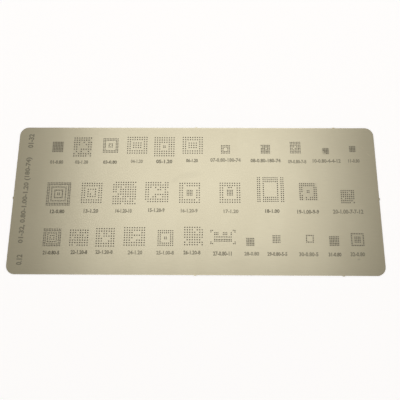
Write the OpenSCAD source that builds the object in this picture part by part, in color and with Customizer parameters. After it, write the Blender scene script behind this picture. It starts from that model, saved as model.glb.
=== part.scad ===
// Solder paste stencil for placing solder balls on chips: one thin stainless
// steel sheet with rounded corners and thirty-two fields of round apertures,
// one field for each chip. It lies flat, with its underside on Z = 0 and the
// middle of the sheet on the Z axis. X runs along the sheet. Sizes are in mm.

/* [Sheet] */
// Length of the sheet
sheet_l = 180; // [176:1:220]
// Width of the sheet
sheet_w = 74; // [70:1:100]
// Thickness of the sheet
sheet_t = 0.12; // [0.08:0.01:0.3]
// Radius of the corners
corner_r = 4.3; // [1:0.1:6]

/* [Tie stubs] */
// Width of the stubs left where the sheet was snapped out of its panel
stub_w = 1.2; // [0.5:0.1:3]
// How far the stubs stand out from the edge
stub_out = 0.3; // [0.1:0.05:0.5]
// Place of the stub on each end, up from the middle
end_stub_y = 0; // [-25:1:25]
// Place of the first stub on each long edge, from the middle
long_stub_a = 0; // [-70:0.5:70]
// Place of the second stub on each long edge, from the middle
long_stub_b = 70; // [-75:0.5:75]

/* [Apertures] */
// Pitch of the close fields
close = 0.8; // [0.72:0.01:0.84]
// Pitch of the medium fields
medium = 1; // [0.9:0.01:1.05]
// Pitch of the wide fields
wide = 1.2; // [1.1:0.01:1.25]
// Diameter of an aperture before its share of the pitch is added
aperture_base = 0.4; // [0.2:0.01:0.44]
// How much an aperture grows for each millimetre of pitch
aperture_growth = 0.18; // [0.05:0.01:0.22]

/* [Rows] */
// Height of the top row of fields above the middle
row_top = 26.6; // [25.5:0.1:27.5]
// Height of the middle row of fields above the middle
row_mid = 3; // [0:0.1:5]
// Height of the bottom row of fields above the middle
row_low = -19.5; // [-21:0.1:-18]

/* [Hidden] */
all_rows = 99;
aperture_sides = 24;
corner_sides = 96;

// Diameter of the apertures in a field of the given pitch
function aperture_d(pitch) = aperture_base + aperture_growth * pitch;

// How many rows in from the edge of a field a ball lies, 0 at the edge
function depth(i, j, size) = min(i, j, size[0] - 1 - i, size[1] - 1 - j);

// A repeatable scatter from 0 to 1 over the balls of a field
function scatter(i, j, seed) = ((37 * i + 61 * j + 17 * i * j + 29 * seed) % 100) / 100;

// True where a field has a ball: in the ring it has all but the share that is
// gone, and inside the ring it has only the share that fills it
function has_ball(i, j, size, ring, gone, fill, seed) =
    depth(i, j, size) < ring ? scatter(i, j, seed) >= gone : scatter(i, j, seed) < fill;

// Moves to the middle of a field, at x along its row and up from the row
module site(x, row, up = 0) {
    translate([x, row + up])
        children();
}

module aperture(pitch) {
    circle(d = aperture_d(pitch), $fn = aperture_sides);
}

// A grid of apertures about its middle. A ring keeps only that many rows in
// from the edge, and a cut leaves out that many diagonals at the lower left.
module grid(size, pitch, ring = all_rows, gone = 0, fill = 0, seed = 0, cut = 0) {
    for (i = [0 : size[0] - 1])
        translate([(i - (size[0] - 1) / 2) * pitch, 0])
            for (j = [0 : size[1] - 1])
                if (i + j >= cut && has_ball(i, j, size, ring, gone, fill, seed))
                    translate([0, (j - (size[1] - 1) / 2) * pitch])
                        aperture(pitch);
}

// One row of apertures round a square of the given half side
module square_ring(half, pitch) {
    count = round(2 * half / pitch);
    step = 2 * half / count;
    for (turn = [0 : 3])
        rotate(90 * turn)
            for (k = [0 : count - 1])
                translate([half, k * step - half])
                    aperture(pitch);
}

// The eleven fields of the top row
module top_fields() {
    site(-70.1, row_top) grid([7, 7], close);
    site(-57.5, row_top) grid([8, 9], wide, ring = 2, fill = 0.4, gone = 0.1, seed = 3);
    site(-43.3, row_top, 0.8) {
        grid([10, 10], close, ring = 2);
        grid([3, 3], close, ring = 1);
    }
    for (x = [-29.8, -1.7])
        site(x, row_top, 1) {
            grid([9, 8], wide, ring = 2);
            grid([4, 3], wide);
        }
    site(-16, row_top, 0.2) {
        grid([9, 9], wide, ring = 3);
        grid([2, 2], close);
    }
    site(14.9, row_top, -1.1) grid([6, 6], close, ring = 2, fill = 0.3, seed = 1);
    site(35, row_top, -1) grid([6, 6], close, gone = 0.06, seed = 2);
    site(50.1, row_top, -0.1) grid([7, 8], close, gone = 0.05, seed = 5);
    site(65.3, row_top, -1.9) grid([4, 4], close, cut = 2);
    site(78.8, row_top, -0.8) grid([4, 4], close);
}

// The nine fields of the middle row
module middle_fields() {
    site(-67.8, row_mid, -0.9) {
        grid([15, 15], close, ring = 2);
        square_ring(3.5, close);
        square_ring(1.9, close);
        grid([2, 2], close);
    }
    site(-51.4, row_mid, -0.3) {
        grid([9, 9], wide, ring = 2);
        grid([4, 4], wide, ring = 1, fill = 0.5);
    }
    site(-35.2, row_mid, -0.3) grid([10, 10], wide, gone = 0.1, seed = 2);
    site(-19.2, row_mid, 0.2) grid([10, 9], wide, ring = 2, gone = 0.08, fill = 0.5, seed = 7);
    site(-3, row_mid, -0.1) {
        grid([9, 9], wide, ring = 2, gone = 0.05, seed = 9);
        grid([4, 4], close);
    }
    site(16.9, row_mid) {
        grid([9, 9], wide, ring = 2);
        grid([4, 4], close);
        translate([0, 2.6])
            grid([3, 1], close);
    }
    site(36.9, row_mid, 1.7)
        for (side = [-1, 1]) {
            translate([side * 5.8, 0])
                grid([2, 13], medium);
            translate([0, side * 5])
                grid([8, 3], medium);
            translate([side * 3.5, 0])
                grid([1, 7], medium);
        }
    site(55.4, row_mid, 0.7) {
        grid([9, 9], medium, ring = 2, gone = 0.1, seed = 8);
        grid([2, 2], close);
    }
    site(74.6, row_mid, -1.8) grid([7, 7], medium, gone = 0.12, seed = 4);
}

// The twelve fields of the bottom row
module bottom_fields() {
    site(-69.2, row_low, 0.1) {
        grid([11, 11], close, ring = 2);
        square_ring(2.1, close);
        square_ring(0.9, close);
    }
    site(-56.2, row_low) grid([8, 7], wide, gone = 0.06, seed = 1);
    site(-43.5, row_low, 0.2) grid([8, 8], wide, ring = 2, fill = 0.4, seed = 5);
    site(-29.4, row_low, 0.7) grid([9, 8], wide, ring = 2, fill = 0.5, seed = 2);
    site(-14.4, row_low) {
        grid([8, 8], medium, ring = 2);
        grid([2, 2], close);
    }
    site(-0.9, row_low, 1) grid([8, 8], wide, gone = 0.1, seed = 3);
    site(13.3, row_low, 0.6) connector_field();
    site(26.4, row_low, -1.7) grid([5, 5], close);
    site(39, row_low, -0.3) grid([5, 5], close);
    site(55, row_low, -0.1) grid([5, 5], close, ring = 1);
    site(66.6, row_low, -1.1) grid([6, 6], close);
    site(77.8, row_low, -0.4) {
        square_ring(2.8, close);
        grid([4, 4], close);
    }
}

// The one field that isn't a plain array: three banks of lands, with an
// angle of three apertures at each corner
module connector_field() {
    translate([0, -1.6])
        grid([11, 2], close);
    grid([11, 1], close);
    for (x = [-3.2, 1])
        translate([x, 1.6])
            grid([3, 2], close);
    translate([4, 1.6])
        grid([1, 2], close);
    for (x = [-1, 1], y = [-1, 1])
        translate([x * 5.8, y * 3.2]) {
            aperture(close);
            translate([-x * close, 0])
                aperture(close);
            translate([0, -y * close])
                aperture(close);
        }
}

// The sheet's edge: a rectangle with round corners and the snapped stubs
module outline() {
    square([sheet_l, sheet_w - 2 * corner_r], center = true);
    square([sheet_l - 2 * corner_r, sheet_w], center = true);
    for (x = [-1, 1], y = [-1, 1])
        translate([x * (sheet_l / 2 - corner_r), y * (sheet_w / 2 - corner_r)])
            circle(r = corner_r, $fn = corner_sides);
    translate([0, end_stub_y])
        square([sheet_l + 2 * stub_out, stub_w], center = true);
    for (x = [long_stub_a, long_stub_b])
        translate([x, 0])
            square([stub_w, sheet_w + 2 * stub_out], center = true);
}

module stencil_sheet() {
    color([0.76, 0.73, 0.65])
        linear_extrude(sheet_t)
            difference() {
                outline();
                top_fields();
                middle_fields();
                bottom_fields();
            }
}

stencil_sheet();
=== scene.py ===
"""Looks for the solder paste stencil: one thin satin steel sheet with its etched
numbers, lying flat on a pale bench under soft light."""

import math

import bpy
from mathutils import Matrix, Vector


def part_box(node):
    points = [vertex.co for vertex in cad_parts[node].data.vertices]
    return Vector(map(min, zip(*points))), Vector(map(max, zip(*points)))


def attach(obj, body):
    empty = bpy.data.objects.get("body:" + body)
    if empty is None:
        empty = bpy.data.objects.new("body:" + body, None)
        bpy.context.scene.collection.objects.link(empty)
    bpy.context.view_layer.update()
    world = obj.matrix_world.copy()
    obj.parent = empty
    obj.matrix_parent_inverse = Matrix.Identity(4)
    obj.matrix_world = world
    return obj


MM = 0.001

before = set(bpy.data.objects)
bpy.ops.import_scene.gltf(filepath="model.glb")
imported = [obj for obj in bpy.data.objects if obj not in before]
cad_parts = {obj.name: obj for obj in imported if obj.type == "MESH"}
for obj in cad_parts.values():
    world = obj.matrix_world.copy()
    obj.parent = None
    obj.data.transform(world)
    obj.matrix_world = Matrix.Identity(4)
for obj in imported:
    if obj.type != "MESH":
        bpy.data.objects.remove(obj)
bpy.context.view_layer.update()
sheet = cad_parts["stencil_sheet"]
sheet_low, sheet_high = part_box("stencil_sheet")
TOP = sheet_high.z

# ---------------------------------------------------------------- camera

CAMERA_AT = Vector((3.703, -40.885, 186.455)) * MM
CAMERA_TARGET = Vector((2.154, -0.714, 0.0)) * MM
CAMERA_ROLL = math.radians(0.2965)
CAMERA_LENS = 34.913
CAMERA_SENSOR = 36.0
CAMERA_NEAR, CAMERA_FAR = 0.01, 20.0


def make_camera():
    """Looks down on the sheet from a little in front of it."""
    data = bpy.data.cameras.new("camera")
    data.sensor_width = CAMERA_SENSOR
    data.lens = CAMERA_LENS
    data.clip_start = CAMERA_NEAR
    data.clip_end = CAMERA_FAR
    back = (CAMERA_AT - CAMERA_TARGET).normalized()
    right = Vector((0, 1, 0)).cross(back).normalized()
    turn = Matrix((right, back.cross(right), back)).transposed()
    turn = turn @ Matrix.Rotation(CAMERA_ROLL, 3, "Z")
    camera = bpy.data.objects.new("camera", data)
    camera.matrix_world = Matrix.Translation(CAMERA_AT) @ turn.to_4x4()
    bpy.context.scene.collection.objects.link(camera)
    bpy.context.scene.camera = camera


# ------------------------------------------------------- shader building


class Graph:
    """A node tree with short words for adding and joining nodes."""

    def __init__(self, tree):
        self.tree = tree

    def add(self, kind, inputs=None, **settings):
        node = self.tree.nodes.new(kind)
        for name, value in settings.items():
            setattr(node, name, value)
        for key, value in (inputs or {}).items():
            self.feed(node, key, value)
        return node

    def feed(self, node, key, value):
        if isinstance(value, bpy.types.NodeSocket):
            self.tree.links.new(value, node.inputs[key])
        else:
            node.inputs[key].default_value = value

    def math(self, operation, a, b=0.0):
        return self.add("ShaderNodeMath", {0: a, 1: b}, operation=operation).outputs[0]

    def vector(self, operation, a, b=(0.0, 0.0, 0.0)):
        return self.add("ShaderNodeVectorMath", {0: a, 1: b}, operation=operation).outputs[0]

    def grey(self, value):
        return self.add("ShaderNodeCombineColor", {0: value, 1: value, 2: value}).outputs[0]

    def ramp(self, value, low, high, out_low=0.0, out_high=1.0):
        node = self.add(
            "ShaderNodeMapRange",
            {"Value": value, "From Min": low, "From Max": high, "To Min": out_low, "To Max": out_high},
            interpolation_type="SMOOTHSTEP",
        )
        return node.outputs["Result"]

    def mix(self, factor, a, b, blend="MIX"):
        node = self.add("ShaderNodeMix", data_type="RGBA", blend_type=blend)
        self.feed(node, 0, factor)
        self.feed(node, 6, a)
        self.feed(node, 7, b)
        return node.outputs[2]

    def noise(self, vector, scale, detail, roughness):
        node = self.add(
            "ShaderNodeTexNoise",
            {"Vector": vector, "Scale": scale, "Detail": detail, "Roughness": roughness},
        )
        return node.outputs["Fac"]

    def stretched(self, vector, x, y):
        node = self.add("ShaderNodeMapping", {"Vector": vector, "Scale": (x, y, 0.0)})
        return node.outputs["Vector"]

    def object_place(self):
        return self.add("ShaderNodeTexCoord").outputs["Object"]


def new_group(name, inputs, outputs):
    """A shader node group with named sockets: returns it, its graph, its inputs and its output node."""
    tree = bpy.data.node_groups.new(name, "ShaderNodeTree")
    for socket, kind, value in inputs:
        item = tree.interface.new_socket(name=socket, in_out="INPUT", socket_type=kind)
        item.default_value = value
    for socket, kind in outputs:
        tree.interface.new_socket(name=socket, in_out="OUTPUT", socket_type=kind)
    graph = Graph(tree)
    entry = graph.add("NodeGroupInput")
    leave = graph.add("NodeGroupOutput")
    return tree, graph, entry.outputs, leave


def new_material(name):
    """An empty node material: returns it, its graph and its shader."""
    material = bpy.data.materials.new(name)
    material.use_nodes = True
    material.node_tree.nodes.clear()
    graph = Graph(material.node_tree)
    shader = graph.add("ShaderNodeBsdfPrincipled")
    output = graph.add("ShaderNodeOutputMaterial")
    graph.tree.links.new(shader.outputs["BSDF"], output.inputs["Surface"])
    return material, graph, shader


NUMBER = "NodeSocketFloat"
VECTOR = "NodeSocketVector"

# The middle part of a noise's range, which holds nearly all its values
NOISE_LOW, NOISE_HIGH = 0.3, 0.7
# How far the rolling draws out the fine lines, the specks and the slow unevenness
LINE_STRETCH = (0.02, 1.0)
SPECK_STRETCH = (0.25, 1.0)
SLOW_STRETCH = (1.0, 0.45)


def make_rolled_grain():
    """Fine lines along the rolling direction, and the slow unevenness of thin sheet."""
    tree, graph, given, leave = new_group(
        "rolled_grain",
        [("Fine Scale", NUMBER, 9000.0), ("Slow Scale", NUMBER, 60.0)],
        [("Lines", NUMBER), ("Specks", NUMBER), ("Slow", NUMBER)],
    )
    place = graph.object_place()
    lines = graph.noise(graph.stretched(place, *LINE_STRETCH), given["Fine Scale"], 3.0, 0.6)
    specks = graph.noise(graph.stretched(place, *SPECK_STRETCH), given["Fine Scale"], 2.0, 0.5)
    slow = graph.noise(graph.stretched(place, *SLOW_STRETCH), given["Slow Scale"], 2.0, 0.5)
    graph.feed(leave, "Lines", lines)
    graph.feed(leave, "Specks", specks)
    graph.feed(leave, "Slow", slow)
    return tree


def make_soft_patch():
    """1 over a rectangle on the sheet, falling to 0 round it, with round corners."""
    tree, graph, given, leave = new_group(
        "soft_patch",
        [
            ("Place", VECTOR, (0.0, 0.0, 0.0)),
            ("Centre", VECTOR, (0.0, 0.0, 0.0)),
            ("Half Size", VECTOR, (0.005, 0.005, 0.0)),
            ("Full To", NUMBER, 0.0),
            ("Gone At", NUMBER, 0.0015),
        ],
        [("Mask", NUMBER)],
    )
    off = graph.vector("SUBTRACT", given["Place"], given["Centre"])
    off = graph.vector("SUBTRACT", graph.vector("ABSOLUTE", off), given["Half Size"])
    off = graph.vector("MULTIPLY", graph.vector("MAXIMUM", off), (1.0, 1.0, 0.0))
    away = graph.add("ShaderNodeVectorMath", {0: off}, operation="LENGTH").outputs["Value"]
    graph.feed(leave, "Mask", graph.ramp(away, given["Full To"], given["Gone At"], 1.0, 0.0))
    return tree


def make_spot():
    """1 in the middle of a turned oval on the sheet, falling to 0 at its edge."""
    tree, graph, given, leave = new_group(
        "spot",
        [
            ("Place", VECTOR, (0.0, 0.0, 0.0)),
            ("Centre", VECTOR, (0.0, 0.0, 0.0)),
            ("Stretch", VECTOR, (100.0, 100.0, 0.0)),
            ("Turn", NUMBER, 0.0),
            ("Core", NUMBER, 0.2),
        ],
        [("Mask", NUMBER)],
    )
    off = graph.vector("SUBTRACT", given["Place"], given["Centre"])
    turn = {"Vector": off, "Angle": given["Turn"]}
    turned = graph.add("ShaderNodeVectorRotate", turn, rotation_type="Z_AXIS").outputs[0]
    scaled = graph.vector("MULTIPLY", turned, given["Stretch"])
    reach = graph.add("ShaderNodeVectorMath", {0: scaled}, operation="LENGTH").outputs["Value"]
    graph.feed(leave, "Mask", graph.ramp(reach, given["Core"], 1.0, 1.0, 0.0))
    return tree


def place_group(graph, tree, values=None):
    """Puts a node group into a graph with the given values: returns its outputs."""
    node = graph.add("ShaderNodeGroup", node_tree=tree)
    for name, value in (values or {}).items():
        graph.feed(node, name, value)
    return node.outputs


# --------------------------------------------------------------- the steel

STEEL = (0.735, 0.675, 0.505, 1.0)
STEEL_DULL = (0.66, 0.60, 0.44, 1.0)
DULL_SHARE = 0.35
LINE_TONE = (0.94, 1.0)
STEEL_ROUGH = (0.28, 0.33)
# The wall of a cut: its tone, a near-black painted shade in the apertures, its added roughness, and how
# upright a normal is there and on the face
PAINTED_SHADE_IN_CUT_WALLS = (0.16, 0.14, 0.11, 1.0)
CUT_WALL_ROUGH = 0.3
WALL_UP, FACE_UP = 0.4, 0.7
# The rolled grain in relief
GRAIN_STRENGTH = 0.12
GRAIN_DEPTH = 0.01 * MM
LINES_IN_RELIEF, SPECKS_IN_RELIEF = 0.6, 0.4
# A rim round the sheet, worn smoother by handling and made lighter in tone as a painted highlight
STUB_OUT = 0.3 * MM
SHEET_HALF = (sheet_high.x - STUB_OUT, sheet_high.y - STUB_OUT)
CORNER_RADIUS = 4.3 * MM
RIM_REACH = 0.45 * MM
RIM_PAINTED_HIGHLIGHT = 0.14
RIM_WEAR = (0.4, 1.0)
RIM_SMOOTH = 0.06
# How much of the steel's tone is left in an etched number, by how deep it is etched
ETCH_DEPTHS = {"deep": 0.36, "even": 0.45, "faint": 0.55}
ETCH_SHADE = 0.72
ETCH_ROUGH = (0.34, 0.42)

# Some fields are darker and rougher: the share of their tone that is taken away, painted shade round the
# apertures, which also drives the dull haze in roughness that the cutting leaves
HAZE_AND_PAINTED_SHADE = {"heavy": 0.25, "light": 0.08}
HAZE_ROUGH = 0.5
# How far in from a field's outline the haze and painted shade are full, and how far they take to fade, in mm
FIELD_MASK_INSET = 0.7
FIELD_MASK_FADE = 1.5
# (middle x, middle y, half width, half height in mm, how heavy the haze and painted shade are)
SHADED_AND_HAZED_FIELDS = [
    (-70.1, 26.6, 2.7, 2.7, "heavy"),
    (-57.5, 26.6, 4.5, 5.1, "light"),
    (35.0, 25.6, 2.3, 2.3, "light"),
    (65.3, 24.7, 1.5, 1.5, "heavy"),
    (78.8, 25.8, 1.5, 1.5, "heavy"),
    (-67.8, 2.1, 5.9, 5.9, "light"),
    (55.4, 3.7, 4.3, 4.3, "light"),
    (74.6, 1.2, 3.3, 3.3, "light"),
    (26.4, -21.2, 1.9, 1.9, "light"),
    (66.6, -20.6, 2.3, 2.3, "light"),
    (77.8, -19.9, 3.1, 3.1, "light"),
]

# Marks of handling on the face:
# (middle x, middle y, half length, half width in mm, turn in degrees, change of tone)
HANDLING_MARKS = [
    (-3.0, 12.0, 8.5, 2.6, 8.0, -0.05),
    (-10.3, 9.4, 3.2, 2.0, 40.0, -0.045),
    (86.7, 22.8, 2.0, 0.35, -38.0, 0.10),
    (84.0, 26.5, 1.4, 0.3, -50.0, 0.06),
    (77.7, -29.3, 1.1, 0.6, 10.0, -0.16),
    (-16.0, 33.0, 3.0, 1.0, 0.0, -0.03),
    (20.0, -31.0, 12.0, 2.5, 4.0, -0.02),
]


def painted_shade_and_haze_of_fields(graph, tree, place):
    """How much a place is darkened by painted shade and hazed, over all the listed fields."""
    total = None
    for x, y, half_x, half_y, weight in SHADED_AND_HAZED_FIELDS:
        mask = place_group(
            graph,
            tree,
            {
                "Place": place,
                "Centre": (x * MM, y * MM, 0.0),
                "Half Size": ((half_x - FIELD_MASK_INSET) * MM, (half_y - FIELD_MASK_INSET) * MM, 0.0),
                "Gone At": FIELD_MASK_FADE * MM,
            },
        )["Mask"]
        shade_and_haze = graph.math("MULTIPLY", mask, HAZE_AND_PAINTED_SHADE[weight])
        total = shade_and_haze if total is None else graph.math("ADD", total, shade_and_haze)
    return total


def handling(graph, tree, place):
    """The change of tone at a place from smudges, scratches and a stain."""
    total = None
    for x, y, half_x, half_y, turn, change in HANDLING_MARKS:
        mask = place_group(
            graph,
            tree,
            {
                "Place": place,
                "Centre": (x * MM, y * MM, 0.0),
                "Stretch": (1 / (half_x * MM), 1 / (half_y * MM), 0.0),
                "Turn": -math.radians(turn),
            },
        )["Mask"]
        moved = graph.math("MULTIPLY", mask, change)
        total = moved if total is None else graph.math("ADD", total, moved)
    return total


def make_sheet_steel(grain, patch, spot):
    """Satin rolled stainless steel, with painted shade making the cut walls of the apertures dark."""
    material, graph, shader = new_material("satin_rolled_steel")
    place = graph.object_place()
    marks = place_group(graph, grain)
    upright = graph.add("ShaderNodeNewGeometry").outputs["True Normal"]
    upright = graph.add("ShaderNodeSeparateXYZ", {0: upright}).outputs["Z"]
    flat = graph.ramp(graph.math("ABSOLUTE", upright), WALL_UP, FACE_UP)
    front = graph.math("GREATER_THAN", upright, 0.0)

    tone = graph.ramp(marks["Slow"], NOISE_LOW, NOISE_HIGH)
    face = graph.mix(graph.math("MULTIPLY", tone, DULL_SHARE), STEEL, STEEL_DULL)
    fine = graph.ramp(marks["Lines"], NOISE_LOW, NOISE_HIGH, *LINE_TONE)
    # Painted shade over some fields, with the dull haze there
    shade_and_haze = painted_shade_and_haze_of_fields(graph, patch, place)
    wear_and_highlight = graph.math("MULTIPLY", handling(graph, spot, place), front)
    within = place_group(
        graph,
        patch,
        {
            "Place": place,
            "Half Size": (SHEET_HALF[0] - CORNER_RADIUS, SHEET_HALF[1] - CORNER_RADIUS, 0.0),
            "Full To": CORNER_RADIUS - RIM_REACH,
            "Gone At": CORNER_RADIUS,
        },
    )["Mask"]
    rim = graph.math("SUBTRACT", 1.0, within)
    rim = graph.math("MULTIPLY", rim, graph.ramp(marks["Specks"], 0.35, 0.6, *RIM_WEAR))
    # Painted highlight: the rim's tone is made lighter
    wear_and_highlight = graph.math("ADD", wear_and_highlight, graph.math("MULTIPLY", rim, RIM_PAINTED_HIGHLIGHT))
    # The painted shade over the fields is taken off the tone here
    level = graph.math("SUBTRACT", graph.math("ADD", fine, wear_and_highlight), shade_and_haze)
    face = graph.mix(1.0, face, graph.grey(level), "MULTIPLY")
    # Painted shade: the cut walls take the near-black wall tone
    graph.feed(shader, "Base Color", graph.mix(flat, PAINTED_SHADE_IN_CUT_WALLS, face))

    rough = graph.ramp(marks["Specks"], 0.25, 0.75, *STEEL_ROUGH)
    rough = graph.math("ADD", rough, graph.math("MULTIPLY", shade_and_haze, HAZE_ROUGH))
    rough = graph.math("SUBTRACT", rough, graph.math("MULTIPLY", rim, RIM_SMOOTH))
    wall = graph.math("SUBTRACT", 1.0, flat)
    rough = graph.math("ADD", rough, graph.math("MULTIPLY", wall, CUT_WALL_ROUGH))
    graph.feed(shader, "Roughness", rough)
    shader.inputs["Metallic"].default_value = 1.0
    lines = graph.math("MULTIPLY", marks["Lines"], LINES_IN_RELIEF)
    specks = graph.math("MULTIPLY", marks["Specks"], SPECKS_IN_RELIEF)
    relief = {"Strength": GRAIN_STRENGTH, "Distance": GRAIN_DEPTH, "Height": graph.math("ADD", lines, specks)}
    bump = graph.add("ShaderNodeBump", relief)
    graph.feed(shader, "Normal", bump.outputs["Normal"])
    return material


def make_etched_steel(grain, depth, kept):
    """The matt bottom of an etched number, darker than the face."""
    material, graph, shader = new_material("etched_number_" + depth)
    marks = place_group(graph, grain)
    light = tuple(kept * c for c in STEEL[:3]) + (1.0,)
    dark = tuple(ETCH_SHADE * c for c in light[:3]) + (1.0,)
    tone = graph.ramp(marks["Specks"], NOISE_LOW, NOISE_HIGH)
    graph.feed(shader, "Base Color", graph.mix(tone, light, dark))
    graph.feed(shader, "Roughness", graph.ramp(marks["Lines"], NOISE_LOW, NOISE_HIGH, *ETCH_ROUGH))
    shader.inputs["Metallic"].default_value = 1.0
    return material


# ------------------------------------------------------------ the numbers

# (field number, text, left end, right end, low edge, high edge in mm, how deep it is etched)
LABELS = [
    ("01", "01-0.80", -73.4, -66.8, 17.6, 19.5, "even"),
    ("02", "02-1.20", -60.8, -54.2, 17.7, 19.5, "even"),
    ("03", "03-0.80", -46.7, -39.7, 17.7, 19.5, "deep"),
    ("04", "04-1.20", -32.8, -26.7, 18.1, 20.0, "faint"),
    ("05", "05-1.20", -20.0, -11.8, 18.0, 20.0, "deep"),
    ("06", "06-1.20", -4.9, 1.0, 18.6, 20.5, "deep"),
    ("07", "07-0.80-180-74", 7.2, 22.5, 18.8, 20.9, "faint"),
    ("08", "08-0.80-180-74", 27.4, 42.5, 18.6, 20.6, "even"),
    ("09", "09-0.80-7-8", 46.2, 55.3, 18.1, 20.1, "faint"),
    ("10", "10-0.80-4-4-12", 58.5, 72.5, 18.5, 20.5, "faint"),
    ("11", "11-0.80", 76.3, 82.0, 18.6, 20.5, "faint"),
    ("12", "12-0.80", -71.3, -64.2, -7.7, -5.7, "deep"),
    ("13", "13-1.20", -54.8, -47.6, -7.4, -5.4, "even"),
    ("14", "14-1.20-10", -39.2, -31.2, -7.3, -5.3, "even"),
    ("15", "15-1.20-9", -23.2, -15.1, -6.9, -4.9, "even"),
    ("16", "16-1.20-9", -7.2, 1.0, -7.1, -5.1, "faint"),
    ("17", "17-1.20", 13.7, 21.0, -7.3, -5.4, "faint"),
    ("18", "18-1.00", 34.0, 41.0, -7.1, -5.2, "deep"),
    ("19", "19-1.00-9-9", 49.6, 60.2, -7.5, -5.4, "even"),
    ("20", "20-1.00-7-7-12", 66.9, 81.7, -7.4, -5.2, "faint"),
    ("21", "21-0.80-5", -73.1, -65.1, -27.7, -25.8, "deep"),
    ("22", "22-1.20-8", -59.7, -51.7, -27.5, -25.5, "deep"),
    ("23", "23-1.20-8", -47.8, -39.5, -27.3, -25.4, "even"),
    ("24", "24-1.20", -32.3, -25.3, -27.5, -25.5, "faint"),
    ("25", "25-1.00-8", -18.6, -10.2, -27.5, -25.6, "faint"),
    ("26", "26-1.20-8", -5.7, 2.5, -27.4, -25.4, "even"),
    ("27", "27-0.80-11", 8.5, 17.4, -27.9, -25.8, "even"),
    ("28", "28-0.80", 23.4, 30.5, -27.8, -25.9, "faint"),
    ("29", "29-0.80-5-5", 34.4, 43.9, -27.9, -26.0, "even"),
    ("30", "30-0.80-5", 49.5, 58.7, -28.0, -26.0, "faint"),
    ("31", "31-0.80", 63.5, 69.6, -28.0, -26.1, "even"),
    ("32", "32-0.80", 73.9, 80.8, -27.9, -25.9, "faint"),
]

# Marks that run up the left margin: (name, text, low end, high end, left edge, right edge) in mm
MARGIN_MARKS = [
    ("low", "0.12", -32.7, -27.7, -85.4, -82.6),
    ("long", "01-32, 0.80-1.00-1.20 (180-74)", -22.3, 21.0, -85.6, -82.4),
    ("high", "01-32", 26.0, 33.5, -85.4, -82.6),
]

# How much the strokes of the figures are thickened, and how finely their curves are cut up
FIGURE_WEIGHT = 0.04
FIGURE_STEPS = 2
# How far a number stands out of the face and reaches into it
ETCH_PROUD = 0.004 * MM
ETCH_SUNK = 0.004 * MM


def number_mesh(text):
    """A line of figures as a solid one unit high, before it is scaled."""
    curve = bpy.data.curves.new("figures", "FONT")
    curve.body = text
    curve.size = 1.0
    curve.resolution_u = FIGURE_STEPS
    curve.offset = FIGURE_WEIGHT
    curve.extrude = 0.5
    holder = bpy.data.objects.new("figures", curve)
    bpy.context.scene.collection.objects.link(holder)
    bpy.context.view_layer.update()
    evaluated = holder.evaluated_get(bpy.context.evaluated_depsgraph_get())
    mesh = bpy.data.meshes.new_from_object(evaluated)
    bpy.data.objects.remove(holder)
    bpy.data.curves.remove(curve)
    return mesh


def fit_to_box(mesh, low, high, upward=False):
    """Scales a line of figures into a box on the face, turned to read upward if asked."""
    if upward:
        mesh.transform(Matrix.Rotation(math.radians(90), 4, "Z"))
    xs = [v.co.x for v in mesh.vertices]
    ys = [v.co.y for v in mesh.vertices]
    scale_x = (high[0] - low[0]) / (max(xs) - min(xs))
    scale_y = (high[1] - low[1]) / (max(ys) - min(ys))
    middle_z = TOP + (ETCH_PROUD - ETCH_SUNK) / 2
    for v in mesh.vertices:
        v.co.x = low[0] + (v.co.x - min(xs)) * scale_x
        v.co.y = low[1] + (v.co.y - min(ys)) * scale_y
        v.co.z = middle_z + v.co.z * (ETCH_PROUD + ETCH_SUNK)


def add_number(name, text, low, high, material, upward=False):
    """One etched line of figures on the face of the sheet."""
    mesh = number_mesh(text)
    fit_to_box(mesh, [c * MM for c in low], [c * MM for c in high], upward)
    mesh.name = name
    mesh.materials.clear()
    mesh.materials.append(material)
    piece = bpy.data.objects.new(name, mesh)
    bpy.context.scene.collection.objects.link(piece)
    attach(piece, "root")


# --------------------------------------------------------- bench and light

BENCH_SIZE = 4.0
BENCH_GAP = 0.01 * MM
BENCH_ROUGH = 0.6
SOFT_BOX_AT = (0.003, 0.318, 1.0)
SOFT_BOX_SIZE = (0.84, 0.765)
SOFT_BOX_LEVEL = 0.96
SOFT_BOX_COLOUR = (1.0, 1.0, 1.0)
# The room's brightness low down and overhead, and how far up each of them reaches
ROOM_LOW, ROOM_HIGH = 0.9, 0.22
ROOM_LOW_UP, ROOM_HIGH_UP = 0.35, 0.85
ROOM_LOW_COLOUR = (1.0, 1.0, 1.0, 1.0)
ROOM_HIGH_COLOUR = (1.0, 0.96, 0.86, 1.0)
BENCH_GLOW = 0.45
BENCH_TONE = (0.93, 0.92, 0.925, 1.0)
# Painted shade: the bench is coloured dark under the sheet, so the apertures look dark
PAINTED_SHADE_UNDER_SHEET = (0.20, 0.18, 0.15, 1.0)
# How far in from the sheet's edge the painted shade on the bench ends
SHADE_INSET = 4.5 * MM


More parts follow.
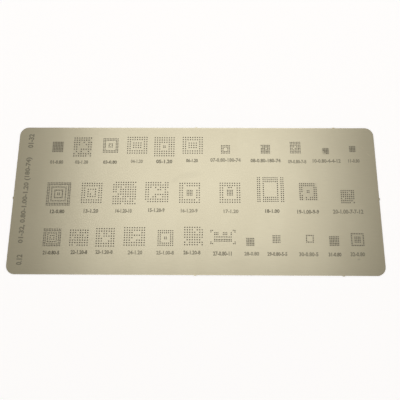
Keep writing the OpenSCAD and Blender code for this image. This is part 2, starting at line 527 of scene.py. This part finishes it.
def make_bench_with_painted_shade():
    """Pale bench, with shade painted dark where the sheet lies on it, as if no light got under."""
    material, graph, shader = new_material("pale_bench_with_painted_shade")
    place = graph.object_place()
    parts = graph.add("ShaderNodeSeparateXYZ", {0: place}).outputs
    painted_shade_area = 1.0
    for axis, low, high in (("X", sheet_low.x, sheet_high.x), ("Y", sheet_low.y, sheet_high.y)):
        middle, half = (low + high) / 2, (high - low) / 2 - SHADE_INSET
        off = graph.math("ABSOLUTE", graph.math("SUBTRACT", parts[axis], middle))
        painted_shade_area = graph.math("MULTIPLY", painted_shade_area, graph.math("LESS_THAN", off, half))
    # Painted shade: dark colour within the sheet's footprint
    graph.feed(shader, "Base Color", graph.mix(painted_shade_area, BENCH_TONE, PAINTED_SHADE_UNDER_SHEET))
    seen = graph.add("ShaderNodeLightPath").outputs["Is Camera Ray"]
    outside = graph.math("SUBTRACT", 1.0, painted_shade_area)
    glow = graph.math("MULTIPLY", graph.math("MULTIPLY", seen, outside), BENCH_GLOW)
    graph.feed(shader, "Emission Strength", glow)
    shader.inputs["Emission Color"].default_value = BENCH_TONE
    shader.inputs["Roughness"].default_value = BENCH_ROUGH
    shader.inputs["Specular IOR Level"].default_value = 0.0
    return material


def make_bench():
    """A square bench top just under the sheet."""
    half = BENCH_SIZE / 2
    mesh = bpy.data.meshes.new("bench")
    corners = [(-half, -half, 0), (half, -half, 0), (half, half, 0), (-half, half, 0)]
    mesh.from_pydata(corners, [], [(0, 1, 2, 3)])
    mesh.materials.append(make_bench_with_painted_shade())
    bench = bpy.data.objects.new("bench", mesh)
    bench.location.z = sheet_low.z - BENCH_GAP
    bpy.context.scene.collection.objects.link(bench)


def make_soft_box():
    """A rectangular soft box that faces straight down on the sheet."""
    data = bpy.data.lights.new("soft_box", "AREA")
    data.shape = "RECTANGLE"
    data.size, data.size_y = SOFT_BOX_SIZE
    data.energy = SOFT_BOX_LEVEL * math.pi * SOFT_BOX_SIZE[0] * SOFT_BOX_SIZE[1]
    data.color = SOFT_BOX_COLOUR
    light = bpy.data.objects.new("soft_box", data)
    light.location = SOFT_BOX_AT
    bpy.context.scene.collection.objects.link(light)


def make_world():
    """A room that is bright low down and dim overhead, away from the soft box."""
    world = bpy.data.worlds.new("room")
    world.use_nodes = True
    tree = world.node_tree
    tree.nodes.clear()
    graph = Graph(tree)
    way = graph.add("ShaderNodeTexCoord").outputs["Generated"]
    up = graph.add("ShaderNodeSeparateXYZ", {0: way}).outputs["Z"]
    height = graph.ramp(up, ROOM_LOW_UP, ROOM_HIGH_UP)
    level = graph.ramp(up, ROOM_LOW_UP, ROOM_HIGH_UP, ROOM_LOW, ROOM_HIGH)
    seen = graph.add("ShaderNodeLightPath").outputs["Is Camera Ray"]
    level = graph.math("MAXIMUM", level, seen)
    colour = graph.mix(height, ROOM_LOW_COLOUR, ROOM_HIGH_COLOUR)
    back = graph.add("ShaderNodeBackground", {"Color": colour, "Strength": level})
    output = graph.add("ShaderNodeOutputWorld")
    tree.links.new(back.outputs[0], output.inputs[0])
    bpy.context.scene.world = world


bpy.context.scene.view_settings.view_transform = "Standard"
bpy.context.scene.cycles.denoising_prefilter = "NONE"
make_camera()
rolled_grain = make_rolled_grain()
steel = make_sheet_steel(rolled_grain, make_soft_patch(), make_spot())
etched = {}
for depth, kept in ETCH_DEPTHS.items():
    etched[depth] = make_etched_steel(rolled_grain, depth, kept)
for slot in sheet.material_slots:
    slot.material = steel
for number, text, left, right, low, high, depth in LABELS:
    add_number("number_" + number, text, (left, low), (right, high), etched[depth])
for name, text, low, high, left, right in MARGIN_MARKS:
    add_number("margin_mark_" + name, text, (left, low), (right, high), etched["faint"], upward=True)
make_bench()
make_soft_box()
make_world()
